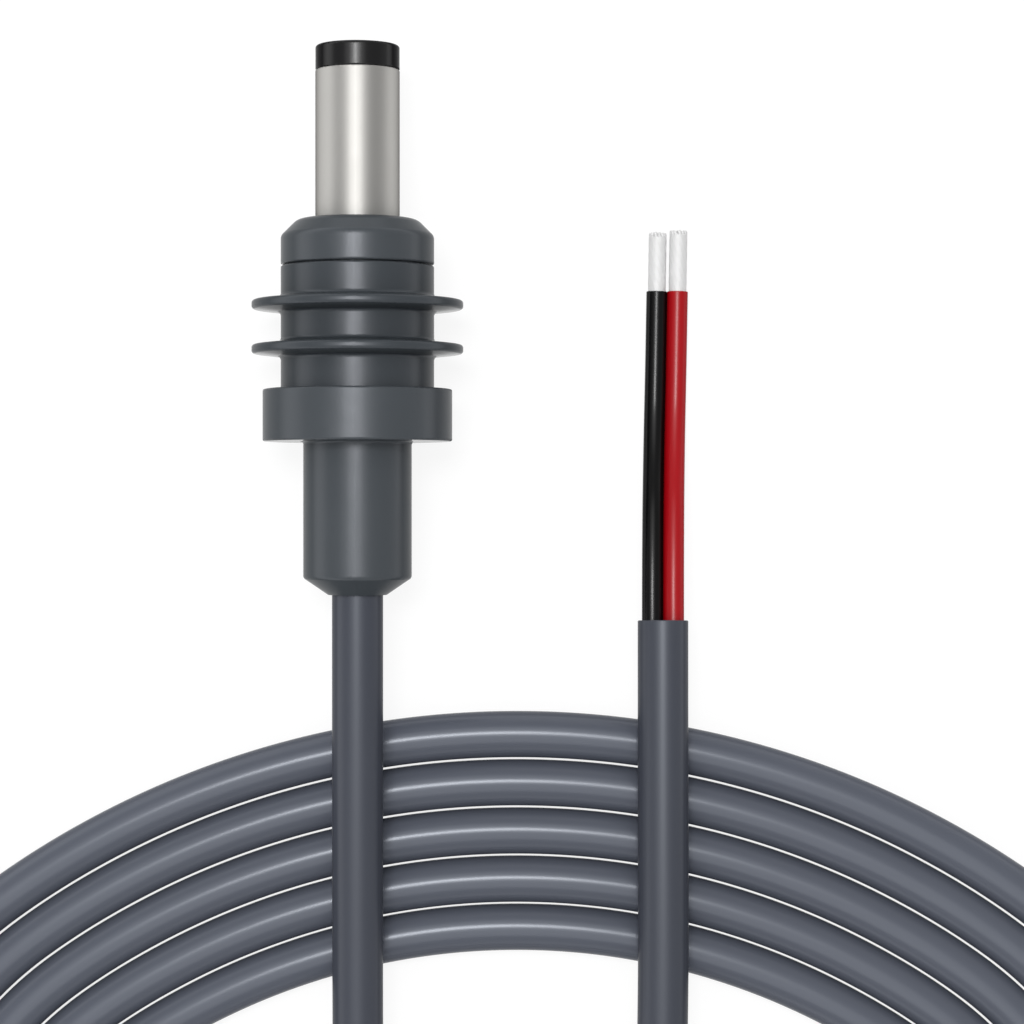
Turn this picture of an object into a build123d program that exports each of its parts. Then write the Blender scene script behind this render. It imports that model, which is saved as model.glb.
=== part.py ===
"""A sealed DC power plug on a coiled two-core cable with bare tinned leads, in millimetres.

The plug lies on the table with its axis along +Y and its tip forward. The origin is at the
bottom centre of the plug and +Z is up. Stations are places along +Y, reaches are lengths.
"""
import os
from math import cos, pi, radians, sin, sqrt, tan

from build123d import *

os.makedirs("parts", exist_ok=True)

# Lengths of the plug's sections along its axis, from the tip back
barrel_reach = 11.32
tip_collar_length = 1.6
head_length = 2.98
seal_length = 8.1
flange_length = 3.4
relief_length = 10.0

# Barrel: the outer contact and the insulator inside it
barrel_diameter = 5.5
barrel_wall = 0.5
tip_rounding = 0.2
collar_joint_rounding = 0.1
neck_depth = 0.2
mouth_margin = 0.3
mouth_depth = 0.7
mouth_chamfer = 0.25
sleeve_flange_thickness = 0.8
tab_width = 2.0
tab_thickness = 0.5
tab_length = 4.6

# Centre contact for the socket's pin
contact_bore = 2.1
contact_wall = 0.35
contact_bore_depth = 10.3
contact_recess = 0.1
slot_width = 0.3
slot_length = 6.5
finger_room = 0.2
terminal_length = 4.2
cup_wall = 0.3
cup_depth = 1.5

# Washer behind the sleeve, and the stiff first shot around the joints
washer_thickness = 1.2
washer_clearance = 0.15
inner_mould_wall = 0.9
inner_mould_length = 10.4
inner_mould_taper = 2.6
jacket_grip = 1.2

# Overmould
head_diameter = 10.0
head_face_diameter = 7.8
head_chamfer_length = 1.1
head_face_rounding = 0.9
head_rounding = 0.5
core_diameter = 8.0
core_wall = 0.7
flange_diameter = 12.36
edge_rounding = 0.15
relief_diameter = 7.08
relief_end_diameter = 3.85
relief_chamfer_length = 1.1
relief_chamfer_rounding = 0.3
relief_root_rounding = 0.2

# Rubber seal
seal_diameter = 10.0
seal_edge_rounding = 0.12
seal_joint_gap = 0.08
seal_joint_depth = 0.5
lip_count = 2
lip_diameter = 13.8
lip_thickness = 1.0
lip_tip_thickness = 0.56
lip_tip_rounding = 0.22
lip_root_rounding = 0.25
first_lip_offset = 2.6
lip_pitch = 2.9

# Cable and its two cores
cable_diameter = 3.2
core_insulation_diameter = 1.4
core_clearance = 0.04
strands_diameter = 0.8
core_to_tab = 0.4
core_straight = 1.0
core_bend_radius = 1.2
strands_on_tab = 1.7
solder_film = 0.1
solder_diameter = 1.5
solder_neck_length = 0.5

# Coil: turns side by side in an oval, its front towards the plug an arc of a larger circle
coil_turns = 5
turn_gap = 0.02
coil_centre_x = 10.4
coil_centre_y = -86.05
coil_front_radius = 58.7
coil_side_radius = 26.0
coil_front_half_angle = 36.0
coil_edge_rounding = 1.3

# Heights of the loose stretches over the table and over the coil
crossing_gap = 0.1
table_gap = 0.1
lead_table_gap = 0.02

# Straight stretches behind the plug and behind the jacket's cut end
cable_straight = 9.4
lead_straight = 5.4

# Leads at the free end
lead_end_x = 19.96
jacket_end_y = -19.65
jacket_end_z = 4.5
insulation_end_y = 2.3
black_tip_length = 3.95
red_tip_length = 4.1
tip_diameter = 1.2
tip_chamfer = 0.2

# Stations along the plug, worked out from the lengths
plug_length = barrel_reach + head_length + seal_length + flange_length + relief_length
back_y = -plug_length / 2
flange_back_y = back_y + relief_length
flange_front_y = flange_back_y + flange_length
head_back_y = flange_front_y + seal_length
head_front_y = head_back_y + head_length
tip_front_y = head_front_y + barrel_reach
collar_back_y = tip_front_y - tip_collar_length
sleeve_back_y = head_back_y - sleeve_flange_thickness
mould_back_y = sleeve_back_y - inner_mould_length
contact_front_y = tip_front_y - mouth_depth - contact_recess
contact_floor_y = contact_front_y - contact_bore_depth
finger_room_back_y = contact_front_y - slot_length - slot_width
cup_mouth_y = sleeve_back_y - terminal_length
cup_floor_y = cup_mouth_y + cup_depth
tab_back_y = sleeve_back_y - tab_length
jacket_front_y = mould_back_y + jacket_grip
core_front_y = tab_back_y - core_to_tab

# The plug rests on its widest part, the seal's lips
axis_z = max(lip_diameter, flange_diameter) / 2
plug_axis = Axis((0, 0, axis_z), (0, 1, 0))
# Half sections are drawn with the station along X and the radius along Y of this plane
section_plane = Plane(origin=(0, 0, axis_z), x_dir=(0, 1, 0), z_dir=(1, 0, 0))

# Radii, and heights above the plug's axis
barrel_r = barrel_diameter / 2
sleeve_bore_r = barrel_r - barrel_wall
neck_r = barrel_r - neck_depth
sleeve_flange_r = core_diameter / 2 - core_wall
contact_bore_r = contact_bore / 2
contact_r = contact_bore_r + contact_wall
mouth_r = contact_bore_r + mouth_margin
cable_r = cable_diameter / 2
core_r = core_insulation_diameter / 2
core_spacing = core_insulation_diameter + core_clearance
strands_r = strands_diameter / 2
cup_bore_r = strands_r + solder_film
cup_r = cup_bore_r + cup_wall
tab_outer_rise = sqrt(sleeve_flange_r**2 - (tab_width / 2) ** 2)
tab_inner_rise = tab_outer_rise - tab_thickness
washer_r = tab_inner_rise - washer_clearance
black_strands_rise = tab_inner_rise - solder_film - strands_r


def rims(part, station, radius):
    """Circular edges of a turned piece at one station and one radius"""
    circles = part.edges().filter_by(GeomType.CIRCLE)
    return circles.filter_by(
        lambda edge: abs(edge.arc_center.Y - station) < 0.001 and abs(edge.radius - radius) < 0.001
    )


def corner_radii(points):
    """Largest bend at each corner that still leaves a short straight in both runs"""
    radii = []
    for before, corner, after in zip(points, points[1:], points[2:]):
        run_in = Vector(*corner) - Vector(*before)
        run_out = Vector(*after) - Vector(*corner)
        half_turn = radians(run_in.get_angle(run_out)) / 2
        radii.append(0.45 * min(run_in.length, run_out.length) / tan(half_turn))
    return radii


def start_plane(points):
    """Plane across the first run of a route"""
    return Plane(origin=points[0], z_dir=Vector(*points[1]) - Vector(*points[0]))


# Overmould with its head, core, flange and strain relief, hollow for what it was moulded over
with BuildPart() as plug_body:
    with BuildSketch(section_plane):
        with BuildLine():
            Polyline(
                (back_y, cable_r),
                (back_y, relief_end_diameter / 2),
                (back_y + relief_chamfer_length, relief_diameter / 2),
                (flange_back_y, relief_diameter / 2),
                (flange_back_y, flange_diameter / 2),
                (flange_front_y, flange_diameter / 2),
                (flange_front_y, core_diameter / 2),
                (head_back_y, core_diameter / 2),
                (head_back_y, head_diameter / 2),
                (head_front_y - head_chamfer_length, head_diameter / 2),
                (head_front_y, head_face_diameter / 2),
                (head_front_y, neck_r),
                (head_back_y, neck_r),
                (head_back_y, sleeve_flange_r),
                (mould_back_y + inner_mould_taper, sleeve_flange_r),
                (mould_back_y, cable_r + inner_mould_wall),
                (mould_back_y, cable_r),
                close=True,
            )
        make_face()
    revolve(axis=plug_axis)
    fillet(rims(plug_body, head_front_y, head_face_diameter / 2), head_face_rounding)
    fillet(rims(plug_body, head_front_y - head_chamfer_length, head_diameter / 2), head_rounding)
    fillet(rims(plug_body, head_back_y, head_diameter / 2), edge_rounding)
    fillet(rims(plug_body, flange_front_y, flange_diameter / 2), edge_rounding)
    fillet(rims(plug_body, flange_back_y, flange_diameter / 2), edge_rounding)
    fillet(rims(plug_body, flange_back_y, relief_diameter / 2), relief_root_rounding)
    fillet(rims(plug_body, back_y + relief_chamfer_length, relief_diameter / 2), relief_chamfer_rounding)
plug_body.part.label = "plug_body"
export_step(plug_body.part, "parts/plug_body.step")

# Rubber sleeve with two lips that seal against the socket's recess. The lips thin out towards
# their rounded rims, and the sleeve's front stands a hair off the head at its own rim
lip_height = (lip_diameter - seal_diameter) / 2
lip_stations = [head_back_y - first_lip_offset - lip * lip_pitch for lip in range(lip_count)]
lip_rounding = min(lip_tip_rounding, 0.45 * lip_tip_thickness)
with BuildPart() as seal_sleeve:
    with BuildSketch(section_plane):
        with Locations((flange_front_y, core_diameter / 2)):
            Rectangle(seal_length, (seal_diameter - core_diameter) / 2, align=(Align.MIN, Align.MIN))
        with Locations((head_back_y, seal_diameter / 2)):
            Rectangle(
                seal_joint_gap, seal_joint_depth, align=(Align.MAX, Align.MAX), mode=Mode.SUBTRACT
            )
        with Locations([(lip_y, seal_diameter / 2) for lip_y in lip_stations]):
            Polygon(
                (-lip_thickness / 2, 0),
                (lip_thickness / 2, 0),
                (lip_tip_thickness / 2, lip_height),
                (-lip_tip_thickness / 2, lip_height),
                align=None,
            )
    revolve(axis=plug_axis)
    fillet(rims(seal_sleeve, head_back_y - seal_joint_gap, seal_diameter / 2), seal_edge_rounding)
    for lip_y in lip_stations:
        for side in (-1, 1):
            root = rims(seal_sleeve, lip_y + side * lip_thickness / 2, seal_diameter / 2)
            fillet(root, lip_root_rounding)
            rim = rims(seal_sleeve, lip_y + side * lip_tip_thickness / 2, lip_diameter / 2)
            fillet(rim, lip_rounding)
seal_sleeve.part.label = "seal_sleeve"
export_step(seal_sleeve.part, "parts/seal_sleeve.step")

# Outer contact: a tube with a root flange and a neck that the head grips, and a solder tab
# behind it
with BuildPart() as barrel_sleeve:
    with BuildSketch(section_plane):
        with BuildLine():
            Polyline(
                (sleeve_back_y, sleeve_bore_r),
                (sleeve_back_y, sleeve_flange_r),
                (head_back_y, sleeve_flange_r),
                (head_back_y, neck_r),
                (head_front_y, neck_r),
                (head_front_y, barrel_r),
                (collar_back_y, barrel_r),
                (collar_back_y, sleeve_bore_r),
                close=True,
            )
        make_face()
    revolve(axis=plug_axis)
    fillet(rims(barrel_sleeve, collar_back_y, barrel_r), collar_joint_rounding)
    with BuildSketch(Plane.XZ.offset(-sleeve_back_y)):
        with Locations((0, axis_z + tab_inner_rise + tab_thickness / 2)):
            Rectangle(tab_width, tab_thickness)
    extrude(amount=tab_length)
barrel_sleeve.part.label = "barrel_sleeve"
export_step(barrel_sleeve.part, "parts/barrel_sleeve.step")

# Insulator: the black ring at the tip with its tube down the sleeve's bore
with BuildPart() as tip_insulator:
    with BuildSketch(section_plane):
        with BuildLine():
            Polyline(
                (sleeve_back_y, contact_r),
                (sleeve_back_y, sleeve_bore_r),
                (collar_back_y, sleeve_bore_r),
                (collar_back_y, barrel_r),
                (tip_front_y, barrel_r),
                (tip_front_y, mouth_r),
                (tip_front_y - mouth_depth, mouth_r),
                (tip_front_y - mouth_depth, contact_r + finger_room),
                (finger_room_back_y, contact_r + finger_room),
                (finger_room_back_y, contact_r),
                close=True,
            )
        make_face()
    revolve(axis=plug_axis)
    fillet(rims(tip_insulator, tip_front_y, barrel_r), tip_rounding)
    fillet(rims(tip_insulator, collar_back_y, barrel_r), collar_joint_rounding)
    chamfer(rims(tip_insulator, tip_front_y, mouth_r), mouth_chamfer)
tip_insulator.part.label = "tip_insulator"
export_step(tip_insulator.part, "parts/tip_insulator.step")

# Centre contact: four spring fingers round the pin's bore, and a solder cup at the back
with BuildPart() as centre_contact:
    with BuildSketch(section_plane):
        with BuildLine():
            Polyline(
                (cup_mouth_y, cup_bore_r),
                (cup_mouth_y, cup_r),
                (sleeve_back_y, cup_r),
                (sleeve_back_y, contact_r),
                (contact_front_y, contact_r),
                (contact_front_y, contact_bore_r),
                (contact_floor_y, contact_bore_r),
                (contact_floor_y, 0),
                (cup_floor_y, 0),
                (cup_floor_y, cup_bore_r),
                close=True,
            )
        make_face()
    revolve(axis=plug_axis)
    with BuildSketch(Plane.XZ.offset(-contact_front_y)):
        with Locations((0, axis_z)):
            Rectangle(slot_width, 2 * contact_r + slot_width)
            Rectangle(2 * contact_r + slot_width, slot_width)
    extrude(amount=slot_length, mode=Mode.SUBTRACT)
centre_contact.part.label = "centre_contact"
export_step(centre_contact.part, "parts/centre_contact.step")

# Washer that the contact's shoulder seats on and its terminal passes through
with BuildPart() as rear_insulator:
    with BuildSketch(Plane.XZ.offset(-sleeve_back_y)):
        with Locations((0, axis_z)):
            Circle(washer_r)
            Circle(cup_r, mode=Mode.SUBTRACT)
    extrude(amount=washer_thickness)
rear_insulator.part.label = "rear_insulator"
export_step(rear_insulator.part, "parts/rear_insulator.step")


def core_route(start_rise, end_rise):
    """Centre line of one core inside the plug, from the jacket's end to its own cut end"""
    bend_y = jacket_front_y + core_straight
    end_bend_y = core_front_y - core_straight
    return [
        (0, jacket_front_y, axis_z + start_rise),
        (0, bend_y, axis_z + start_rise),
        (0, end_bend_y, axis_z + end_rise),
        (0, core_front_y, axis_z + end_rise),
    ]


# Insulated cores inside the plug: black up to the sleeve's tab, red to the contact's cup
black_core_points = core_route(core_spacing / 2, black_strands_rise)
with BuildPart() as black_core_end:
    with BuildLine():
        FilletPolyline(*black_core_points, radius=core_bend_radius)
    with BuildSketch(start_plane(black_core_points)):
        Circle(core_r)
    sweep()
black_core_end.part.label = "black_core_end"
export_step(black_core_end.part, "parts/black_core_end.step")

red_core_points = core_route(-core_spacing / 2, 0)
with BuildPart() as red_core_end:
    with BuildLine():
        FilletPolyline(*red_core_points, radius=core_bend_radius)
    with BuildSketch(start_plane(red_core_points)):
        Circle(core_r)
    sweep()
red_core_end.part.label = "red_core_end"
export_step(red_core_end.part, "parts/red_core_end.step")

with BuildPart() as black_core_strands:
    with BuildSketch(Plane.XZ.offset(-(tab_back_y + strands_on_tab))):
        with Locations((0, axis_z + black_strands_rise)):
            Circle(strands_r)
    extrude(amount=tab_back_y + strands_on_tab - core_front_y)
black_core_strands.part.label = "black_core_strands"
export_step(black_core_strands.part, "parts/black_core_strands.step")

with BuildPart() as red_core_strands:
    with BuildSketch(Plane.XZ.offset(-cup_floor_y)):
        with Locations((0, axis_z)):
            Circle(strands_r)
    extrude(amount=cup_floor_y - core_front_y)
red_core_strands.part.label = "red_core_strands"
export_step(red_core_strands.part, "parts/red_core_strands.step")

# Solder: a half-round bead under the tab, and a filled cup with a short neck
with BuildPart() as sleeve_solder:
    with BuildSketch(Plane.XZ.offset(-(tab_back_y + strands_on_tab))):
        with Locations((0, axis_z + black_strands_rise)):
            Circle(solder_diameter / 2)
        with Locations((0, axis_z + tab_inner_rise)):
            Rectangle(solder_diameter, solder_diameter, align=(Align.CENTER, Align.MIN), mode=Mode.SUBTRACT)
        with Locations((0, axis_z + black_strands_rise)):
            Circle(strands_r, mode=Mode.SUBTRACT)
    extrude(amount=strands_on_tab)
sleeve_solder.part.label = "sleeve_solder"
export_step(sleeve_solder.part, "parts/sleeve_solder.step")

with BuildPart() as contact_solder:
    with BuildSketch(section_plane):
        with BuildLine():
            Polyline(
                (cup_mouth_y - solder_neck_length, strands_r),
                (cup_mouth_y, cup_r),
                (cup_mouth_y, cup_bore_r),
                (cup_floor_y, cup_bore_r),
                (cup_floor_y, strands_r),
                close=True,
            )
        make_face()
    revolve(axis=plug_axis)
contact_solder.part.label = "contact_solder"
export_step(contact_solder.part, "parts/contact_solder.step")


def coil_outline(inset):
    """Closed line of the coil, inset from the centre line of its outermost turn"""
    side_shift = coil_front_radius - coil_side_radius
    side_x = side_shift * sin(radians(coil_front_half_angle))
    side_y = coil_centre_y + side_shift * cos(radians(coil_front_half_angle))
    side_radius = coil_side_radius - inset
    front_radius = coil_front_radius - inset
    side_sweep = 180 - coil_front_half_angle
    front_start = 90 - coil_front_half_angle
    back_line_y = side_y - side_radius
    CenterArc((coil_centre_x, coil_centre_y), front_radius, front_start, 2 * coil_front_half_angle)
    CenterArc((coil_centre_x - side_x, side_y), side_radius, 90 + coil_front_half_angle, side_sweep)
    CenterArc((coil_centre_x + side_x, side_y), side_radius, -90, side_sweep)
    Line((coil_centre_x - side_x, back_line_y), (coil_centre_x + side_x, back_line_y))


# Coil: the outer shape of all its turns, lying flat on the table
with BuildPart() as cable_coil:
    with BuildSketch():
        with BuildLine():
            coil_outline(-cable_r)
        make_face()
        with BuildLine():
            coil_outline((coil_turns - 1) * (cable_diameter + turn_gap) + cable_r)
        make_face(mode=Mode.SUBTRACT)
    extrude(amount=cable_diameter)
    flat_faces = cable_coil.faces().filter_by(Axis.Z)
    fillet(flat_faces.edges(), min(coil_edge_rounding, 0.45 * cable_diameter))
cable_coil.part.label = "cable_coil"
export_step(cable_coil.part, "parts/cable_coil.step")

# Cable from the jacket's end in the plug, over the coil's front and down into its innermost
# turn at the back, where it ends on the coil
over_coil_z = cable_diameter + cable_r + crossing_gap
on_table_z = cable_r + table_gap
lead_on_table_z = core_r + lead_table_gap
plug_tail_points = [
    (0, jacket_front_y, axis_z),
    (0, back_y - cable_straight, axis_z),
    (0, -48.3, over_coil_z - 0.2),
    (0.2, -58.9, on_table_z + 0.7),
    (6.3, -68.5, on_table_z + 0.05),
    (15.7, -72.9, on_table_z),
]
plug_tail_radii = corner_radii(plug_tail_points)
with BuildPart() as cable_plug_tail:
    with BuildLine() as plug_tail_route:
        FilletPolyline(*plug_tail_points, radius=plug_tail_radii)
    with BuildSketch(start_plane(plug_tail_points)):
        Circle(cable_r)
    sweep()
    plug_tail_volume = cable_plug_tail.part.volume
    add(cable_coil.part, mode=Mode.SUBTRACT)
cable_plug_tail.part.label = "cable_plug_tail"
export_step(cable_plug_tail.part, "parts/cable_plug_tail.step")

# Cable from the outermost turn, over the coil's back, across its open middle and over its
# front to the jacket's end
wire_tail_points = [
    (-11.2, -85.2, on_table_z + 0.1),
    (1.7, -85.5, over_coil_z),
    (13.3, -78.9, over_coil_z),
    (20.0, -67.3, over_coil_z),
    (19.8, -55.5, over_coil_z - 0.7),
    (20.05, -44.5, over_coil_z + 0.05),
    (lead_end_x, -31.5, over_coil_z + 0.1),
    (lead_end_x, jacket_end_y, jacket_end_z),
]
wire_tail_radii = corner_radii(wire_tail_points)
with BuildPart() as cable_wire_tail:
    with BuildLine() as wire_tail_route:
        FilletPolyline(*wire_tail_points, radius=wire_tail_radii)
    with BuildSketch(start_plane(wire_tail_points)):
        Circle(cable_r)
    sweep()
    wire_tail_volume = cable_wire_tail.part.volume
    add(cable_coil.part, mode=Mode.SUBTRACT)
cable_wire_tail.part.label = "cable_wire_tail"
export_step(cable_wire_tail.part, "parts/cable_wire_tail.step")


def lead_route(side):
    """Centre line of one insulated lead, from the jacket's end down to rest on the table"""
    jacket_end = Vector(*wire_tail_points[-1])
    jacket_direction = (jacket_end - Vector(*wire_tail_points[-2])).normalized()
    lead_start = jacket_end + Vector(side * core_spacing / 2, 0, 0)
    lead_bend = lead_start + jacket_direction * lead_straight
    return [
        tuple(lead_start),
        tuple(lead_bend),
        (lead_start.X + 0.24, -7.6, lead_on_table_z + 0.45),
        (lead_start.X + 0.38, -2.6, lead_on_table_z),
        (lead_start.X + 0.46, insulation_end_y, lead_on_table_z),
    ]


def tip_plane(points):
    """Plane across the end of a lead, facing onwards"""
    return Plane(origin=points[-1], z_dir=Vector(*points[-1]) - Vector(*points[-2]))


# Leads where the jacket is cut back, black to the left of red
black_lead_points = lead_route(-1)
black_lead_radii = corner_radii(black_lead_points)
with BuildPart() as black_wire:
    with BuildLine():
        FilletPolyline(*black_lead_points, radius=black_lead_radii)
    with BuildSketch(start_plane(black_lead_points)):
        Circle(core_r)
    sweep()
black_wire.part.label = "black_wire"
export_step(black_wire.part, "parts/black_wire.step")

red_lead_points = lead_route(1)
red_lead_radii = corner_radii(red_lead_points)
with BuildPart() as red_wire:
    with BuildLine():
        FilletPolyline(*red_lead_points, radius=red_lead_radii)
    with BuildSketch(start_plane(red_lead_points)):
        Circle(core_r)
    sweep()
red_wire.part.label = "red_wire"
export_step(red_wire.part, "parts/red_wire.step")

# Tinned strands at the leads' ends
with BuildPart() as black_wire_tip:
    with BuildSketch(tip_plane(black_lead_points)):
        Circle(tip_diameter / 2)
    extrude(amount=black_tip_length)
    chamfer(black_wire_tip.edges().filter_by(GeomType.CIRCLE).sort_by(Axis.Y)[-1], tip_chamfer)
black_wire_tip.part.label = "black_wire_tip"
export_step(black_wire_tip.part, "parts/black_wire_tip.step")

with BuildPart() as red_wire_tip:
    with BuildSketch(tip_plane(red_lead_points)):
        Circle(tip_diameter / 2)
    extrude(amount=red_tip_length)
    chamfer(red_wire_tip.edges().filter_by(GeomType.CIRCLE).sort_by(Axis.Y)[-1], tip_chamfer)
red_wire_tip.part.label = "red_wire_tip"
export_step(red_wire_tip.part, "parts/red_wire_tip.step")

# Stiff first shot: fills the overmould's cavity round the washer, tab, joints and cable end
moulded_over = [
    rear_insulator,
    barrel_sleeve,
    centre_contact,
    black_core_end,
    red_core_end,
    black_core_strands,
    red_core_strands,
    sleeve_solder,
    contact_solder,
]
with BuildPart() as inner_mould:
    with BuildSketch(section_plane):
        with BuildLine():
            Polyline(
                (mould_back_y, 0),
                (mould_back_y, cable_r + inner_mould_wall),
                (mould_back_y + inner_mould_taper, sleeve_flange_r),
                (sleeve_back_y, sleeve_flange_r),
                (sleeve_back_y, 0),
                close=True,
            )
        make_face()
    revolve(axis=plug_axis)
    with BuildSketch(Plane.XZ.offset(-jacket_front_y)):
        with Locations((0, axis_z)):
            Circle(cable_r)
    extrude(amount=jacket_front_y - mould_back_y, mode=Mode.SUBTRACT)
    for piece in moulded_over:
        add(piece.part, mode=Mode.SUBTRACT)
inner_mould.part.label = "inner_mould"
export_step(inner_mould.part, "parts/inner_mould.step")

cable_section = cable_r**2 * pi
for name, route, volume, radii in (
    ("plug tail", plug_tail_route, plug_tail_volume, plug_tail_radii),
    ("wire tail", wire_tail_route, wire_tail_volume, wire_tail_radii),
):
    route_length = route.wire().length
    print(f"{name}: length {route_length:.1f}, volume ratio {volume / (cable_section * route_length):.4f}")
    print(f"{name}: bend radii", [round(radius, 1) for radius in radii])
print("lead bend radii", [round(radius, 1) for radius in black_lead_radii])
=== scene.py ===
"""Looks of a sealed DC power plug on its coiled two-core cable, in metres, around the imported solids.

The plug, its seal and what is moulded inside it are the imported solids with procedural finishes. The
cable, its two leads and their tinned strands are modelled here, along the route of their solids.
"""
import math

import bmesh
import bpy
from mathutils import Matrix, Vector


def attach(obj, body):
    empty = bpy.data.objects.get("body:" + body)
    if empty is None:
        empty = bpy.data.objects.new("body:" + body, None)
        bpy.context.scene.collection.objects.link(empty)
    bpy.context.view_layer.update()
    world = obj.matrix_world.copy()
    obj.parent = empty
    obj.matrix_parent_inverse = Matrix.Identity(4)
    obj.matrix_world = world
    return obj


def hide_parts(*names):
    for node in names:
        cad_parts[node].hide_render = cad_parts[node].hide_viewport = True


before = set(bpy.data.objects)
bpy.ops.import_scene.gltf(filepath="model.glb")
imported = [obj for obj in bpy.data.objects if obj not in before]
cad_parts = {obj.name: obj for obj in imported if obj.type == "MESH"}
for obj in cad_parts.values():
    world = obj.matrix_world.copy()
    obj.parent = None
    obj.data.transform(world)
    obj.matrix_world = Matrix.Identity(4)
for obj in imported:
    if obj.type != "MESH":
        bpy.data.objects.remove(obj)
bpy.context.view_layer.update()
scene = bpy.context.scene
scene.view_settings.view_transform = "Standard"

# Camera: straight down on the plug and the front of the coil, through a long lens
LENS_MM = 110.6
SENSOR_MM = 36.0
CAMERA_PLACE = (0.01007, -0.0125, 0.212)
NEAREST_SEEN = 0.01
FARTHEST_SEEN = 20.0

camera_data = bpy.data.cameras.new("camera")
camera_data.lens = LENS_MM
camera_data.sensor_width = SENSOR_MM
camera_data.clip_start = NEAREST_SEEN
camera_data.clip_end = FARTHEST_SEEN
camera = bpy.data.objects.new("camera", camera_data)
camera.location = CAMERA_PLACE
scene.collection.objects.link(camera)
scene.camera = camera

# Sizes of the cable and its leads
CABLE_DIAMETER = 0.0032
CORE_DIAMETER = 0.0014
TIP_DIAMETER = 0.0012
BLACK_TIP_LENGTH = 0.00395
RED_TIP_LENGTH = 0.0041

# Coil: five turns side by side, its front an arc of a larger circle
COIL_TURNS = 5
TURN_GAP = 0.00002
COIL_CENTRE = (0.0104, -0.08605)
COIL_FRONT_RADIUS = 0.0587
COIL_SIDE_RADIUS = 0.026
COIL_FRONT_HALF_ANGLE = 36.0
SIDE_POINTS = 8
FRONT_POINTS = 8
BACK_POINTS = 6

# Route of the cable from inside the plug over the coil's front and down to its innermost turn
plug_tail = [
    (0.0, -0.0064, 0.0069),
    (0.0, -0.0273, 0.0069),
    (-0.0001, -0.0483, 0.0047),
    (-0.0001, -0.0589, 0.0024),
    (0.0063, -0.0685, 0.00175),
    (0.0157, -0.0717, 0.00167),
]

# Route from the outermost turn over the coil's back, its open middle and its front
wire_tail = [
    (-0.0080, -0.0856, 0.00167),
    (0.0017, -0.0855, 0.0049),
    (0.0133, -0.0789, 0.0049),
    (0.0200, -0.0673, 0.0049),
    (0.0198, -0.0555, 0.0042),
    (0.02005, -0.0445, 0.00495),
    (0.02001, -0.0315, 0.0050),
    (0.02003, -0.01965, 0.0045),
]


def coil_arc(centre, radius, start, sweep, count):
    """Control points whose smooth line is an arc lying on the table, angles in degrees"""
    step = math.radians(sweep / count)
    reach = radius / math.cos(step / 2)
    angles = [math.radians(start) + (place + 0.5) * step for place in range(count)]
    return [
        (centre[0] + reach * math.cos(angle), centre[1] + reach * math.sin(angle), CABLE_DIAMETER / 2)
        for angle in angles
    ]


def smooth_step(share):
    """0 to 1 with level ends"""
    return share * share * (3 - 2 * share)


def coil_route():
    """Control points of the turns, innermost first, anticlockwise from above"""
    pitch = CABLE_DIAMETER + TURN_GAP
    half_angle = COIL_FRONT_HALF_ANGLE
    side_shift = COIL_FRONT_RADIUS - COIL_SIDE_RADIUS
    side_x = side_shift * math.sin(math.radians(half_angle))
    side_y = COIL_CENTRE[1] + side_shift * math.cos(math.radians(half_angle))
    left_centre = (COIL_CENTRE[0] - side_x, side_y)
    right_centre = (COIL_CENTRE[0] + side_x, side_y)
    side_sweep = 180 - half_angle
    points = []
    for turn in range(COIL_TURNS):
        inset = (COIL_TURNS - 1 - turn) * pitch
        side_radius = COIL_SIDE_RADIUS - inset
        front_radius = COIL_FRONT_RADIUS - inset
        points += coil_arc(right_centre, side_radius, -90, side_sweep, SIDE_POINTS)
        points += coil_arc(COIL_CENTRE, front_radius, 90 - half_angle, 2 * half_angle, FRONT_POINTS)
        points += coil_arc(left_centre, side_radius, 90 + half_angle, side_sweep, SIDE_POINTS)
        if turn == COIL_TURNS - 1:
            break
        for place in range(BACK_POINTS):
            share = (place + 0.5) / BACK_POINTS
            x = left_centre[0] + (right_centre[0] - left_centre[0]) * share
            points.append((x, side_y - side_radius - smooth_step(share) * pitch, CABLE_DIAMETER / 2))
    return points


# Making of lines, tubes and meshes
LINE_ORDER = 3
LINE_STEPS = 12
SHARP_ANGLE = 40.0

# Share of its radius that a tube's last ordinary ring keeps from its end rings
END_ROOM = 0.125


def linked(name, mesh):
    """New object of a mesh, in the scene"""
    piece = bpy.data.objects.new(name, mesh)
    scene.collection.objects.link(piece)
    return piece


def shade_smooth(mesh):
    """Smooth shading, apart from the sharp edges"""
    mesh.polygons.foreach_set("use_smooth", [True] * len(mesh.polygons))
    mesh.set_sharp_from_angle(angle=math.radians(SHARP_ANGLE))


def evaluated_mesh(piece):
    """New mesh of a curve, or of an object with its modifiers"""
    bpy.context.view_layer.update()
    evaluated = piece.evaluated_get(bpy.context.evaluated_depsgraph_get())
    return bpy.data.meshes.new_from_object(evaluated)


def line_along(name, control_points):
    """Points along the smooth line of a route, read from its NURBS spline"""
    curve = bpy.data.curves.new(name, "CURVE")
    curve.dimensions = "3D"
    spline = curve.splines.new("NURBS")
    spline.points.add(len(control_points) - 1)
    for point, place in zip(spline.points, control_points):
        point.co = (*place, 1.0)
    spline.order_u = LINE_ORDER
    spline.use_endpoint_u = True
    spline.resolution_u = LINE_STEPS
    line = linked(name, curve)
    mesh = evaluated_mesh(line)
    points = [vertex.co.copy() for vertex in mesh.vertices]
    bpy.data.objects.remove(line)
    bpy.data.curves.remove(curve)
    bpy.data.meshes.remove(mesh)
    return points


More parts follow.
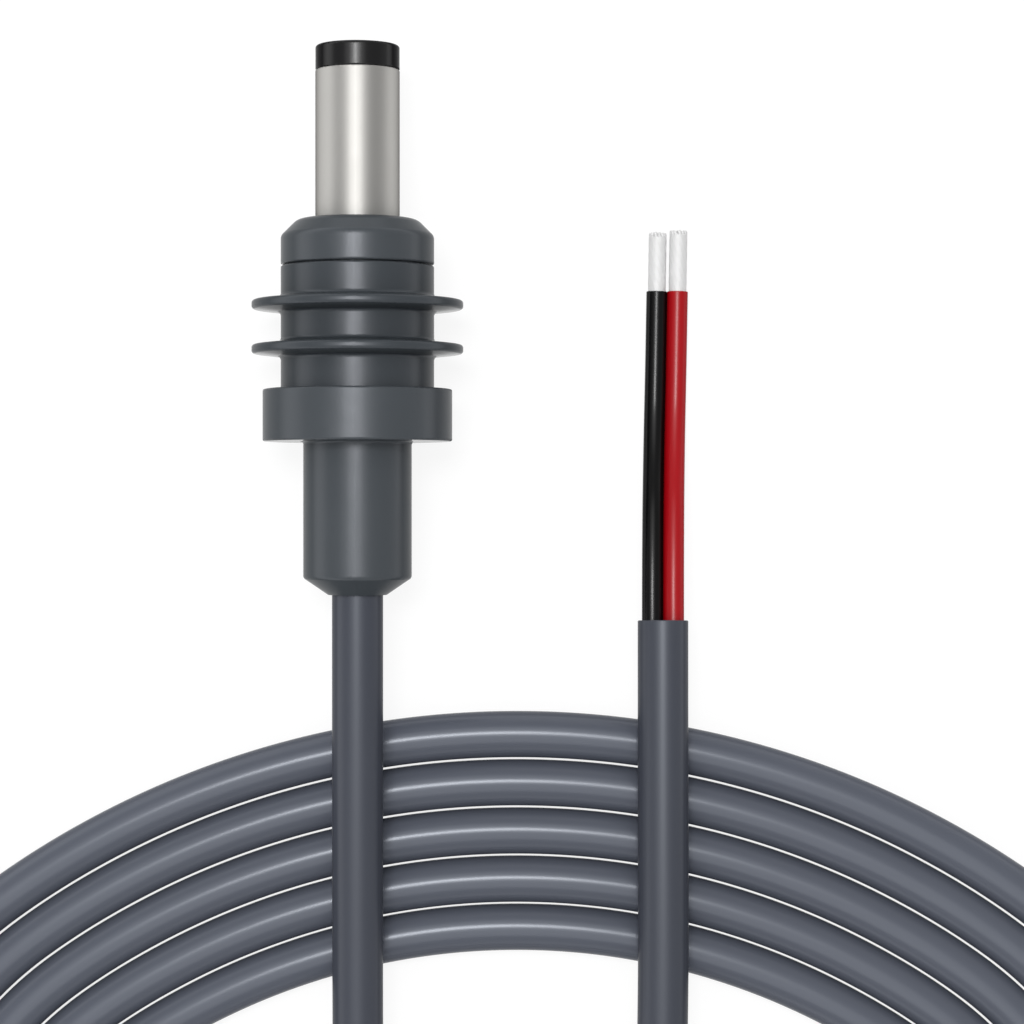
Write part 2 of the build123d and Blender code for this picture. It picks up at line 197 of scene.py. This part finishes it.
def tube_rings(path, radius, end_rings, slimmed):
    """Rings of a tube: each a centre, a direction, a radius and its distance along the path

    end_rings are pairs of a distance back from the path's end and a radius, from the outside in.
    slimmed gives the share of the radius that the tube has at a distance along the path.
    """
    last = len(path) - 1
    tangents = [(path[min(i + 1, last)] - path[max(i - 1, 0)]).normalized() for i in range(len(path))]
    rings = []
    travelled = 0.0
    for place, (centre, tangent) in enumerate(zip(path, tangents)):
        if place:
            travelled += (centre - path[place - 1]).length
        rings.append((centre, tangent, radius * (slimmed(travelled) if slimmed else 1.0), travelled))
    end, ahead = path[-1], tangents[-1]
    first_back = end_rings[0][0]
    while (end - rings[-1][0]).length < first_back + radius * END_ROOM:
        rings.pop()
    for back, ring_radius in end_rings:
        rings.append((end - ahead * back, ahead, ring_radius, travelled - back))
    return rings


def tube(name, path, radius, sides, end_rings, slimmed=None):
    """Closed tube along a path, its seam underneath, with UVs in metres round it and along it"""
    rings = tube_rings(path, radius, end_rings, slimmed)
    vertices = []
    for centre, tangent, ring_radius, _ in rings:
        down = (Vector((0, 0, -1)) + tangent * tangent.z).normalized()
        across = tangent.cross(down)
        for side in range(sides):
            turn = 2 * math.pi * side / sides
            vertices.append(centre + (down * math.cos(turn) + across * math.sin(turn)) * ring_radius)
    faces = []
    uvs = []
    for ring in range(len(rings) - 1):
        v_low, v_high = rings[ring][3], rings[ring + 1][3]
        for side in range(sides):
            beside = (side + 1) % sides
            low, high = ring * sides, (ring + 1) * sides
            faces.append((low + side, low + beside, high + beside, high + side))
            u_low, u_high = (2 * math.pi * radius * step / sides for step in (side, side + 1))
            uvs += [(u_low, v_low), (u_high, v_low), (u_high, v_high), (u_low, v_high)]
    for ring, order in ((0, range(sides - 1, -1, -1)), (len(rings) - 1, range(sides))):
        faces.append(tuple(ring * sides + side for side in order))
        uvs += [(0.0, rings[ring][3])] * sides

    mesh = bpy.data.meshes.new(name)
    mesh.from_pydata(vertices, [], faces)
    layer = mesh.uv_layers.new(name="along")
    for corner, uv in zip(layer.data, uvs):
        corner.uv = uv
    shade_smooth(mesh)
    mesh.update()
    return linked(name, mesh)


# Cable: one jacket from inside the plug to its cut end, a thin wall round the filler there
JACKET_SIDES = 32
JACKET_EDGE = 0.00005
JACKET_WALL = 0.0002
JACKET_RECESS = 0.00035
TAIL_SHARE = 1.045
TURN_SHARE = 0.97
SLIM_START = 0.06
SLIM_END = 0.07
SLIM_BLEND = 0.02

cable_path = line_along("cable_line", plug_tail + coil_route() + wire_tail)
cable_reach = sum((b - a).length for a, b in zip(cable_path, cable_path[1:]))


def jacket_share(travelled):
    """Share of the jacket's radius at a distance along it: a little slimmer where it is wound"""
    from_tails = min(travelled - SLIM_START, cable_reach - SLIM_END - travelled)
    slimness = smooth_step(min(max(from_tails / SLIM_BLEND, 0.0), 1.0))
    return TAIL_SHARE + (TURN_SHARE - TAIL_SHARE) * slimness


jacket_radius = CABLE_DIAMETER / 2
cut_radius = jacket_radius * TAIL_SHARE
jacket_end_rings = [
    (JACKET_EDGE, cut_radius),
    (0.0, cut_radius - JACKET_EDGE),
    (0.0, cut_radius - JACKET_WALL),
    (JACKET_RECESS, cut_radius - JACKET_WALL),
]
power_cable = tube("power_cable", cable_path, jacket_radius, JACKET_SIDES, jacket_end_rings, jacket_share)

# Leads: the two insulated cores, from inside the jacket's end down to the table
LEAD_SIDES = 28
LEAD_EDGE = 0.00003
LEAD_RECESS = 0.0001
LEAD_START_BACK = 0.0009
LEAD_STRAIGHT = 0.0054
LEAD_PRESS = 0.00001
LEAD_SPACING = CORE_DIAMETER - LEAD_PRESS

# Last points of a lead: each its way to the right of the lead's start, then its y and its height
LEAD_POINTS = [
    (0.00024, -0.0076, 0.00117),
    (0.00038, -0.0026, 0.00072),
    (0.00046, 0.0023, 0.00072),
]

jacket_end = Vector(wire_tail[-1])
jacket_ahead = (jacket_end - Vector(wire_tail[-2])).normalized()


def lead_route(side):
    """Control points of a lead, side -1 for the black one and 1 for the red one"""
    start = jacket_end + Vector((side * LEAD_SPACING / 2, 0, 0))
    inside_jacket = tuple(start - jacket_ahead * LEAD_START_BACK)
    first_bend = tuple(start + jacket_ahead * LEAD_STRAIGHT)
    return [inside_jacket, first_bend] + [(start.x + right, y, z) for right, y, z in LEAD_POINTS]


core_radius = CORE_DIAMETER / 2
lead_end_rings = [
    (LEAD_EDGE, core_radius),
    (0.0, core_radius - LEAD_EDGE),
    (0.0, TIP_DIAMETER / 2),
    (LEAD_RECESS, TIP_DIAMETER / 2 - LEAD_EDGE),
]
black_path = line_along("black_lead_line", lead_route(-1))
red_path = line_along("red_lead_line", lead_route(1))
black_lead = tube("black_lead", black_path, core_radius, LEAD_SIDES, lead_end_rings)
red_lead = tube("red_lead", red_path, core_radius, LEAD_SIDES, lead_end_rings)


# Nodes: a value given to these functions is an output to link or a plain value
def feed(tree, value, socket):
    """Link an output to a socket, or set the socket to a plain value"""
    if isinstance(value, bpy.types.NodeSocket):
        tree.links.new(value, socket)
    else:
        socket.default_value = value


def calculated(tree, operation, *values, clamped=False):
    """Result of a Math node"""
    node = tree.nodes.new("ShaderNodeMath")
    node.operation = operation
    node.use_clamp = clamped
    for socket, value in zip(node.inputs, values):
        feed(tree, value, socket)
    return node.outputs["Value"]


def smooth_range(tree, value, span, low, high):
    """A value brought smoothly from low to high over a span of it"""
    node = tree.nodes.new("ShaderNodeMapRange")
    node.interpolation_type = "SMOOTHSTEP"
    feed(tree, value, node.inputs["Value"])
    feed(tree, span[0], node.inputs["From Min"])
    feed(tree, span[1], node.inputs["From Max"])
    feed(tree, low, node.inputs["To Min"])
    feed(tree, high, node.inputs["To Max"])
    return node.outputs["Result"]


def coordinates(tree, vector):
    """X, Y and Z outputs of a vector"""
    node = tree.nodes.new("ShaderNodeSeparateXYZ")
    tree.links.new(vector, node.inputs["Vector"])
    return node.outputs


def noise(tree, vector, scale, detail, roughness=0.5, distortion=0.0):
    """Value of a noise texture"""
    node = tree.nodes.new("ShaderNodeTexNoise")
    feed(tree, vector, node.inputs["Vector"])
    feed(tree, scale, node.inputs["Scale"])
    feed(tree, detail, node.inputs["Detail"])
    feed(tree, roughness, node.inputs["Roughness"])
    feed(tree, distortion, node.inputs["Distortion"])
    return node.outputs["Fac"]


def bumped(tree, height, depth):
    """Normal of a surface raised by a height times a depth"""
    node = tree.nodes.new("ShaderNodeBump")
    feed(tree, depth, node.inputs["Distance"])
    feed(tree, height, node.inputs["Height"])
    return node.outputs["Normal"]


def placed(tree, group, **values):
    """Node of a shader group, with what is given for its inputs"""
    node = tree.nodes.new("ShaderNodeGroup")
    node.node_tree = group
    for name, value in values.items():
        feed(tree, value, node.inputs[name])
    return node


# Tips: each lead's bare strands, twisted in three rings and run together with solder
STRAND_RADIUS = 0.00012
STRAND_SIDES = 12
STRAND_STEPS = 48
STRAND_RINGS = ((12, 0.00048), (6, 0.00024), (1, 0.0))
STRAND_LAY = 0.0105
STRAND_SPREAD = 0.03
SOLDER_RADIUS = 0.00059
SOLDER_SIDES = 36
SOLDER_SHORT = 1.5 * STRAND_RADIUS
SOLDER_ROUNDING = 0.00012
SOLDER_ROUNDING_STEPS = 3
TIP_ROOT = 0.0003
BLACK_TIP_SEED = 3
RED_TIP_SEED = 11


def strand_ring_group():
    """Node group: helical strands about the Z axis from the origin, one made and the rest turned round"""
    group = bpy.data.node_groups.new("strand_ring", "GeometryNodeTree")
    group.interface.new_socket("Geometry", in_out="OUTPUT", socket_type="NodeSocketGeometry")
    sockets = (
        ("Strands", "NodeSocketInt"),
        ("Ring radius", "NodeSocketFloat"),
        ("Strand radius", "NodeSocketFloat"),
        ("Length", "NodeSocketFloat"),
        ("Turns", "NodeSocketFloat"),
        ("Spread", "NodeSocketFloat"),
        ("Seed", "NodeSocketInt"),
        ("Material", "NodeSocketMaterial"),
    )
    for label, kind in sockets:
        group.interface.new_socket(label, in_out="INPUT", socket_type=kind)
    nodes, links = group.nodes, group.links
    given = nodes.new("NodeGroupInput").outputs

    helix = nodes.new("GeometryNodeCurveSpiral")
    helix.inputs["Resolution"].default_value = STRAND_STEPS
    links.new(given["Turns"], helix.inputs["Rotations"])
    links.new(given["Ring radius"], helix.inputs["Start Radius"])
    links.new(given["Ring radius"], helix.inputs["End Radius"])
    links.new(given["Length"], helix.inputs["Height"])
    section = nodes.new("GeometryNodeCurvePrimitiveCircle")
    section.inputs["Resolution"].default_value = STRAND_SIDES
    links.new(given["Strand radius"], section.inputs["Radius"])
    strand = nodes.new("GeometryNodeCurveToMesh")
    strand.inputs["Fill Caps"].default_value = True
    links.new(helix.outputs["Curve"], strand.inputs["Curve"])
    links.new(section.outputs["Curve"], strand.inputs["Profile Curve"])

    index = nodes.new("GeometryNodeInputIndex")
    step = calculated(group, "DIVIDE", 2 * math.pi, given["Strands"])
    turned = nodes.new("ShaderNodeCombineXYZ")
    links.new(calculated(group, "MULTIPLY", index.outputs["Index"], step), turned.inputs["Z"])

    cut = nodes.new("FunctionNodeRandomValue")
    cut.data_type = "FLOAT"
    links.new(calculated(group, "SUBTRACT", 1.0, given["Spread"]), cut.inputs[2])
    cut.inputs[3].default_value = 1.0
    links.new(given["Seed"], cut.inputs["Seed"])
    stretch = nodes.new("ShaderNodeCombineXYZ")
    stretch.inputs["X"].default_value = 1.0
    stretch.inputs["Y"].default_value = 1.0
    links.new(cut.outputs[1], stretch.inputs["Z"])

    places = nodes.new("GeometryNodePoints")
    links.new(given["Strands"], places.inputs["Count"])
    copies = nodes.new("GeometryNodeInstanceOnPoints")
    links.new(places.outputs["Points"], copies.inputs["Points"])
    links.new(strand.outputs["Mesh"], copies.inputs["Instance"])
    links.new(turned.outputs["Vector"], copies.inputs["Rotation"])
    links.new(stretch.outputs["Vector"], copies.inputs["Scale"])
    real = nodes.new("GeometryNodeRealizeInstances")
    links.new(copies.outputs["Instances"], real.inputs["Geometry"])
    tinned = nodes.new("GeometryNodeSetMaterial")
    links.new(real.outputs["Geometry"], tinned.inputs["Geometry"])
    links.new(given["Material"], tinned.inputs["Material"])
    out = nodes.new("NodeGroupOutput")
    links.new(tinned.outputs["Geometry"], out.inputs["Geometry"])
    return group


strand_ring = strand_ring_group()


def ring_mesh(values):
    """Mesh that the strand ring group makes with the given inputs"""
    carrier = linked("strand_carrier", bpy.data.meshes.new("strand_carrier"))
    modifier = carrier.modifiers.new("strands", "NODES")
    modifier.node_group = strand_ring
    for socket in strand_ring.interface.items_tree:
        if socket.in_out == "INPUT":
            modifier[socket.identifier] = values[socket.name]
    mesh = evaluated_mesh(carrier)
    carrier.modifiers.remove(modifier)
    bpy.data.objects.remove(carrier)
    return mesh


def add_strands(bundle, length, seed, material):
    """The rings of strands of a tip, along the Z axis from the origin"""
    for ring, (strands, ring_radius) in enumerate(STRAND_RINGS):
        mesh = ring_mesh({
            "Strands": strands,
            "Ring radius": ring_radius,
            "Strand radius": STRAND_RADIUS,
            "Length": length,
            "Turns": length / STRAND_LAY,
            "Spread": STRAND_SPREAD,
            "Seed": seed + ring,
            "Material": material,
        })
        bundle.from_mesh(mesh)
        bpy.data.meshes.remove(mesh)


def add_solder(bundle, length):
    """The solder between a tip's strands: a rod along the Z axis, rounded at its far end"""
    middle = length / 2
    rod = bmesh.ops.create_cone(
        bundle, cap_ends=True, segments=SOLDER_SIDES, radius1=SOLDER_RADIUS, radius2=SOLDER_RADIUS,
        depth=length, matrix=Matrix.Translation((0, 0, middle)),
    )
    far_end = {vertex for vertex in rod["verts"] if vertex.co.z > middle}
    rim = [edge for edge in bundle.edges if far_end.issuperset(edge.verts)]
    bmesh.ops.bevel(bundle, geom=rim, offset=SOLDER_ROUNDING, segments=SOLDER_ROUNDING_STEPS, affect="EDGES")


def tip(name, path, length, seed, material):
    """Bare end of a lead, from a little inside the insulation's cut"""
    whole = length + TIP_ROOT
    bundle = bmesh.new()
    add_strands(bundle, whole, seed, material)
    add_solder(bundle, whole - SOLDER_SHORT)
    ahead = (path[-1] - path[-2]).normalized()
    root = Matrix.Translation(path[-1] - ahead * TIP_ROOT)
    bundle.transform(root @ ahead.to_track_quat("Z", "Y").to_matrix().to_4x4())
    bmesh.ops.recalc_face_normals(bundle, faces=bundle.faces)
    mesh = bpy.data.meshes.new(name)
    bundle.to_mesh(mesh)
    bundle.free()
    mesh.materials.append(material)
    shade_smooth(mesh)
    return linked(name, mesh)


# Shader groups: what the finishes share. A small scale along the cable draws the lines out there
NOISE_MIDDLE = 0.5
WIDE_GRAIN_SCALE = 0.09
WIDE_GRAIN_WEIGHT = 3.0
DRAWN_SCALE = (1.0, 0.012, 1.0)


def shader_group(name, inputs, outputs):
    """Empty shader node group with named inputs and outputs, and the sockets that stand for them inside"""
    group = bpy.data.node_groups.new(name, "ShaderNodeTree")
    for label, kind in inputs:
        group.interface.new_socket(label, in_out="INPUT", socket_type="NodeSocket" + kind)
    for label, kind in outputs:
        group.interface.new_socket(label, in_out="OUTPUT", socket_type="NodeSocket" + kind)
    return group, group.nodes.new("NodeGroupInput").outputs, group.nodes.new("NodeGroupOutput").inputs


def grain_group():
    """Fine moulded grain with softer unevenness under it, as a bumped normal"""
    group, given, out = shader_group(
        "moulded_grain",
        [("Vector", "Vector"), ("Size", "Float"), ("Depth", "Float")],
        [("Normal", "Vector")],
    )
    fine_scale = calculated(group, "DIVIDE", 1.0, given["Size"])
    fine = noise(group, given["Vector"], fine_scale, detail=3.0, roughness=0.6)
    wide_scale = calculated(group, "MULTIPLY", fine_scale, WIDE_GRAIN_SCALE)
    wide = noise(group, given["Vector"], wide_scale, detail=1.0)
    height = calculated(group, "MULTIPLY_ADD", wide, WIDE_GRAIN_WEIGHT, fine)
    group.links.new(bumped(group, height, given["Depth"]), out["Normal"])
    return group


def draw_line_group():
    """Fine lines that an extrusion die leaves along a cable, as a bumped normal"""
    group, given, out = shader_group(
        "draw_lines",
        [("UV", "Vector"), ("Spacing", "Float"), ("Depth", "Float")],
        [("Normal", "Vector")],
    )
    scale = calculated(group, "DIVIDE", 1.0, given["Spacing"])
    drawn = group.nodes.new("ShaderNodeMapping")
    drawn.inputs["Scale"].default_value = DRAWN_SCALE
    group.links.new(given["UV"], drawn.inputs["Vector"])
    lines = noise(group, drawn.outputs["Vector"], scale, detail=2.0)
    group.links.new(bumped(group, lines, given["Depth"]), out["Normal"])
    return group


def handling_group():
    """Uneven gloss where a surface has been rubbed and touched: a roughness and a faint change of colour"""
    group, given, out = shader_group(
        "handling",
        [("Vector", "Vector"), ("Size", "Float"), ("Roughness", "Float"), ("Variation", "Float"),
         ("Color", "Color"), ("Tint", "Float")],
        [("Roughness", "Float"), ("Color", "Color")],
    )
    scale = calculated(group, "DIVIDE", 1.0, given["Size"])
    patches = noise(group, given["Vector"], scale, detail=4.0, roughness=0.55, distortion=0.4)
    centred = calculated(group, "SUBTRACT", patches, NOISE_MIDDLE)
    rough = calculated(group, "MULTIPLY_ADD", centred, given["Variation"], given["Roughness"], clamped=True)
    lighter = calculated(group, "MULTIPLY_ADD", centred, given["Tint"], 1.0)
    tinted = group.nodes.new("ShaderNodeVectorMath")
    tinted.operation = "SCALE"
    group.links.new(given["Color"], tinted.inputs[0])
    group.links.new(lighter, tinted.inputs["Scale"])
    group.links.new(rough, out["Roughness"])
    group.links.new(tinted.outputs["Vector"], out["Color"])
    return group


def wound_group():
    """Mask of the stretch of a cable that has been wound up, from the distance along it"""
    group, given, out = shader_group(
        "wound_stretch",
        [("UV", "Vector"), ("Start", "Float"), ("End", "Float"), ("Blend", "Float")],
        [("Mask", "Float")],
    )
    travelled = coordinates(group, given["UV"])["Y"]
    past_start = calculated(group, "SUBTRACT", travelled, given["Start"])
    before_end = calculated(group, "SUBTRACT", given["End"], travelled)
    nearest = calculated(group, "MINIMUM", past_start, before_end)
    group.links.new(smooth_range(group, nearest, (0.0, given["Blend"]), 0.0, 1.0), out["Mask"])
    return group


grain = grain_group()
draw_lines = draw_line_group()
handling = handling_group()
wound_stretch = wound_group()

# Finishes: spans of Layer Weight's Facing, and how a turned surface stretches its highlight
EDGE_FADE = (0.30, 0.46)
GRAZING_RISE = (0.88, 0.96)
GRAZING_SMOOTHNESS = 0.5
TURNED_ROTATION = 0.25


def fade_gloss(tree, surface, roughness, specular, edge_gloss):
    """Weaker gloss on flanks that lean away, full and smoother again at grazing angles"""
    facing = tree.nodes.new("ShaderNodeLayerWeight").outputs["Facing"]
    fading = smooth_range(tree, facing, EDGE_FADE, specular, specular * edge_gloss)
    rising = smooth_range(tree, facing, GRAZING_RISE, 0.0, specular)
    tree.links.new(calculated(tree, "MAXIMUM", fading, rising), surface.inputs["Specular IOR Level"])
    smoothing = smooth_range(tree, facing, GRAZING_RISE, 1.0, GRAZING_SMOOTHNESS)
    tree.links.new(calculated(tree, "MULTIPLY", roughness, smoothing), surface.inputs["Roughness"])


def turn_gloss(tree, surface, strength):
    """Highlight stretched as on metal that was turned about the Y axis"""
    surface.inputs["Anisotropic"].default_value = strength
    surface.inputs["Anisotropic Rotation"].default_value = TURNED_ROTATION
    lathe = tree.nodes.new("ShaderNodeTangent")
    lathe.direction_type = "RADIAL"
    lathe.axis = "Y"
    tree.links.new(lathe.outputs["Tangent"], surface.inputs["Tangent"])


def finish(name, color, roughness, metallic=0.0, specular=0.5, specular_tint=None, grain_size=0.0001,
           grain_depth=0.0, variation=0.08, patch=0.004, tint=0.1, line_spacing=None, edge_gloss=None,
           turned=None):
    """Material whose gloss and colour vary a little, with a moulded grain or, along a cable, drawn lines"""
    material = bpy.data.materials.new(name)
    material.use_nodes = True
    tree = material.node_tree
    surface = tree.nodes["Principled BSDF"]
    surface.inputs["Metallic"].default_value = metallic
    surface.inputs["Specular IOR Level"].default_value = specular
    if specular_tint:
        surface.inputs["Specular Tint"].default_value = (*specular_tint, 1.0)
    place = tree.nodes.new("ShaderNodeTexCoord").outputs

    touched = placed(tree, handling, Vector=place["Object"], Size=patch, Roughness=roughness,
                     Variation=variation, Color=(*color, 1.0), Tint=tint)
    touched.name = "touched"
    tree.links.new(touched.outputs["Roughness"], surface.inputs["Roughness"])
    tree.links.new(touched.outputs["Color"], surface.inputs["Base Color"])
    if edge_gloss:
        fade_gloss(tree, surface, touched.outputs["Roughness"], specular, edge_gloss)
    if turned:
        turn_gloss(tree, surface, turned)

    if line_spacing:
        relief = placed(tree, draw_lines, UV=place["UV"], Spacing=line_spacing, Depth=grain_depth)
    else:
        relief = placed(tree, grain, Vector=place["Object"], Size=grain_size, Depth=grain_depth)
    tree.links.new(relief.outputs["Normal"], surface.inputs["Normal"])
    return material


def paint_wound_light_and_gloss(material, color, roughness):
    """Another colour, as painted light, and another gloss for the stretch of the cable that is wound up"""
    tree = material.node_tree
    place = tree.nodes.new("ShaderNodeTexCoord").outputs
    stretch = placed(tree, wound_stretch, UV=place["UV"], Start=SLIM_START, End=cable_reach - SLIM_END,
                     Blend=SLIM_BLEND)
    touched = tree.nodes["touched"]
    # The colour given for the wound stretch is painted light; its roughness there only changes the gloss
    for name, kind, wound_value in (("Color", "RGBA", (*color, 1.0)), ("Roughness", "FLOAT", roughness)):
        mixed = tree.nodes.new("ShaderNodeMix")
        mixed.data_type = kind
        factor, loose_end, wound_end = (socket for socket in mixed.inputs if socket.enabled)
        result = next(socket for socket in mixed.outputs if socket.enabled)
        loose_end.default_value = touched.inputs[name].default_value
        wound_end.default_value = wound_value
        tree.links.new(stretch.outputs["Mask"], factor)
        tree.links.new(result, touched.inputs[name])


finishes = {
    "overmould": finish(
        "overmould_pvc", color=(0.055, 0.063, 0.071), roughness=0.32, specular_tint=(0.92, 0.94, 1.0),
        grain_size=0.00016, grain_depth=0.000003, edge_gloss=0.2,
    ),
    "seal_rubber": finish(
        "seal_rubber", color=(0.042, 0.049, 0.056), roughness=0.33, specular_tint=(0.92, 0.94, 1.0),
        grain_size=0.00012, grain_depth=0.000003, edge_gloss=0.2,
    ),
    # Painted shade: the dark specular tint darkens the nickel's reflections towards its grazing edges
    "nickel_plate": finish(
        "nickel_plate", color=(0.64, 0.63, 0.606), roughness=0.585, metallic=1.0,
        specular_tint=(0.1, 0.1, 0.1), grain_size=0.00025, grain_depth=0.0000002, tint=0.04, turned=0.72,
    ),
    "black_insulator": finish(
        "black_insulator", color=(0.006, 0.006, 0.0065), roughness=0.22, specular=0.4,
        grain_size=0.0004, grain_depth=0.000001, variation=0.05, edge_gloss=0.05,
    ),
    "contact_metal": finish("contact_metal", color=(0.70, 0.66, 0.58), roughness=0.25, metallic=1.0),
    "inner_mould": finish("inner_mould", color=(0.75, 0.75, 0.72), roughness=0.5),
    "cable_jacket": finish(
        "cable_jacket", color=(0.053, 0.058, 0.074), roughness=0.36, specular_tint=(0.86, 0.90, 0.97),
        line_spacing=0.00022, grain_depth=0.000002, variation=0.05, patch=0.012, edge_gloss=0.15,
    ),
    "black_insulation": finish(
        "black_insulation", color=(0.002, 0.002, 0.0022), roughness=0.25, specular=0.28,
        line_spacing=0.00018, grain_depth=0.000002, variation=0.05, patch=0.006, edge_gloss=0.2,
    ),
    "red_insulation": finish(
        "red_insulation", color=(0.37, 0.002, 0.006), roughness=0.30, specular=0.36,
        line_spacing=0.00018, grain_depth=0.000002, patch=0.006, edge_gloss=0.2,
    ),
    "tinned_copper": finish(
        "tinned_copper", color=(0.77, 0.77, 0.77), roughness=0.66, metallic=0.3,
        grain_size=0.0002, grain_depth=0.000003, variation=0.12, patch=0.001,
    ),
}
# Painted light: the wound turns get a lighter colour than the loose ends, for the brighter light falling on
# them
paint_wound_light_and_gloss(finishes["cable_jacket"], color=(0.092, 0.101, 0.127), roughness=0.25)

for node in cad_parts.values():
    for slot in node.material_slots:
        slot.material = finishes[slot.material.name]
power_cable.data.materials.append(finishes["cable_jacket"])
black_lead.data.materials.append(finishes["black_insulation"])
red_lead.data.materials.append(finishes["red_insulation"])

black_tip = tip("black_tip", black_path, BLACK_TIP_LENGTH, BLACK_TIP_SEED, finishes["tinned_copper"])
red_tip = tip("red_tip", red_path, RED_TIP_LENGTH, RED_TIP_SEED, finishes["tinned_copper"])

# Stage: a white table, a bright small softbox and two wider weak ones overhead, and a grey sky
FLOOR_SIZE = 3.0
FLOOR_COLOR = (0.58, 0.58, 0.58, 1.0)
FLOOR_GLOW = 0.86
FLOOR_GLOW_SHARE = 0.72
SKY_ABOVE = 0.36
SKY_LEFT = 1.3
SKY_RIGHT = 0.5
SKY_DIMMING = (0.22, 0.45)

# Softboxes: place, size and radiance. A lamp's watts are its radiance times its area times LAMP_WATTS
SOFTBOXES = {
    "key_softbox": ((-0.03, 0.09, 0.60), (0.16, 0.11), 20.2),
    "strip_softbox": ((-0.03, -0.01, 0.60), (0.26, 1.00), 0.42),
    "wide_softbox": ((-0.06, -0.01, 0.62), (0.62, 1.00), 0.62),
}
LAMP_WATTS = 4


def softbox(name, place, size, radiance):
    """Rectangular lamp that faces straight down, its watts worked out from its area and radiance"""
    lamp = bpy.data.lights.new(name, "AREA")
    lamp.shape = "RECTANGLE"
    lamp.size, lamp.size_y = size
    lamp.energy = radiance * size[0] * size[1] * LAMP_WATTS
    box = bpy.data.objects.new(name, lamp)
    box.location = place
    scene.collection.objects.link(box)


def grey_sky():
    """World that is brighter at its left horizon than at its right one, and dim overhead"""
    sky = bpy.data.worlds.new("sky")
    sky.use_nodes = True
    tree = sky.node_tree
    direction = coordinates(tree, tree.nodes.new("ShaderNodeTexCoord").outputs["Generated"])
    horizon = smooth_range(tree, direction["X"], (-1.0, 1.0), SKY_LEFT, SKY_RIGHT)
    shade = smooth_range(tree, direction["Z"], SKY_DIMMING, horizon, SKY_ABOVE)
    tree.links.new(shade, tree.nodes["Background"].inputs["Color"])
    return sky


def floor_paint():
    """White paint that takes shadows, and glows to the camera, in reflections and through glass"""
    material = bpy.data.materials.new("floor_paint")
    material.use_nodes = True
    tree = material.node_tree
    paint = tree.nodes["Principled BSDF"]
    paint.inputs["Base Color"].default_value = FLOOR_COLOR
    paint.inputs["Roughness"].default_value = 1.0
    paint.inputs["Specular IOR Level"].default_value = 0.0
    glow = tree.nodes.new("ShaderNodeEmission")
    glow.inputs["Strength"].default_value = FLOOR_GLOW / FLOOR_GLOW_SHARE
    ray = tree.nodes.new("ShaderNodeLightPath").outputs
    camera_or_glossy = calculated(tree, "ADD", ray["Is Camera Ray"], ray["Is Glossy Ray"])
    any_view = calculated(tree, "ADD", camera_or_glossy, ray["Is Transmission Ray"], clamped=True)
    mixed = tree.nodes.new("ShaderNodeMixShader")
    tree.links.new(calculated(tree, "MULTIPLY", any_view, FLOOR_GLOW_SHARE), mixed.inputs["Fac"])
    tree.links.new(paint.outputs["BSDF"], mixed.inputs[1])
    tree.links.new(glow.outputs["Emission"], mixed.inputs[2])
    tree.links.new(mixed.outputs["Shader"], tree.nodes["Material Output"].inputs["Surface"])
    return material


def table():
    """Flat square floor under the part"""
    half = FLOOR_SIZE / 2
    corners = [(-half, -half, 0), (half, -half, 0), (half, half, 0), (-half, half, 0)]
    mesh = bpy.data.meshes.new("floor")
    mesh.from_pydata(corners, [], [(0, 1, 2, 3)])
    mesh.materials.append(floor_paint())
    return linked("floor", mesh)


for name, (place, size, radiance) in SOFTBOXES.items():
    softbox(name, place, size, radiance)
scene.world = grey_sky()
floor = table()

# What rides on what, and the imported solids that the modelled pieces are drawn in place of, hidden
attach(power_cable, "root")
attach(black_lead, "root")
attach(red_lead, "root")
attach(black_tip, "root")
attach(red_tip, "root")
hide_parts("cable_plug_tail", "cable_coil", "cable_wire_tail")
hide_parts("black_wire")
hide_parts("red_wire")
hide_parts("black_wire_tip")
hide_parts("red_wire_tip")
